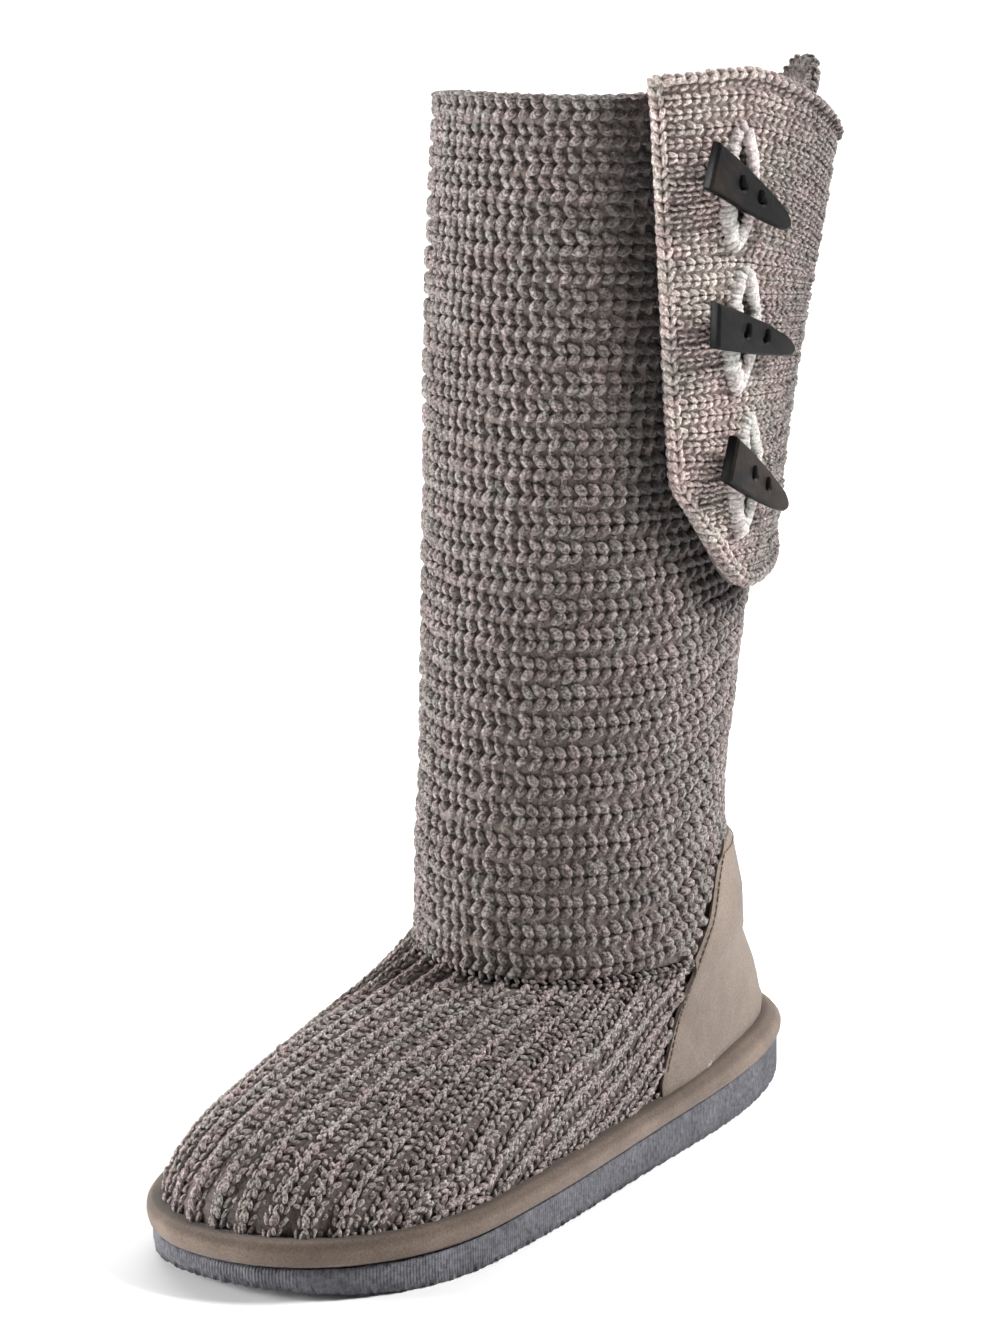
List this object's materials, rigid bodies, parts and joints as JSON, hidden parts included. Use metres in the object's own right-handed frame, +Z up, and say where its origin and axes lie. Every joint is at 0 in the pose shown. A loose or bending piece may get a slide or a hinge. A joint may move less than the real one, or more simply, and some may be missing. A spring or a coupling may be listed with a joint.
{
  "type": "sweater boot",
  "caption": "Tall knit boot on a flat wedge sole: hollow ribbed foot and shaft, suede rand and heel counter, and a buttoned flap with horn toggles on the outer side.",
  "frame": {"origin": "middle of the boot's box, on the floor", "axes": "+Z up the shaft, toe towards -Y, heel towards +Y, outer side of the foot towards +X"},
  "size_m": [0.1252, 0.2796, 0.3363],
  "materials": {
    "foam": "blue-grey foamed rubber with a grainy side",
    "rand_suede": "brown suede binding with a short nap",
    "suede": "beige suede with a short nap",
    "fleece": "short cream fleece",
    "knit": "chunky melange rib knit, taupe and grey",
    "flap_knit": "chunky melange rib knit, lighter",
    "pale_yarn": "pale grey yarn",
    "horn": "dark horn, softly polished"
  },
  "bodies": {
    "root": {"outsole": "foam", "rand": "rand_suede", "insole": "fleece", "upper": "knit", "shaft": "knit", "heel_counter": "suede", "button_flap": "flap_knit", "buttonhole_edge_1": "pale_yarn", "buttonhole_edge_2": "pale_yarn", "buttonhole_edge_3": "pale_yarn", "toggle_1": "horn", "toggle_2": "horn", "toggle_3": "horn"}
  },
  "joints": []
}
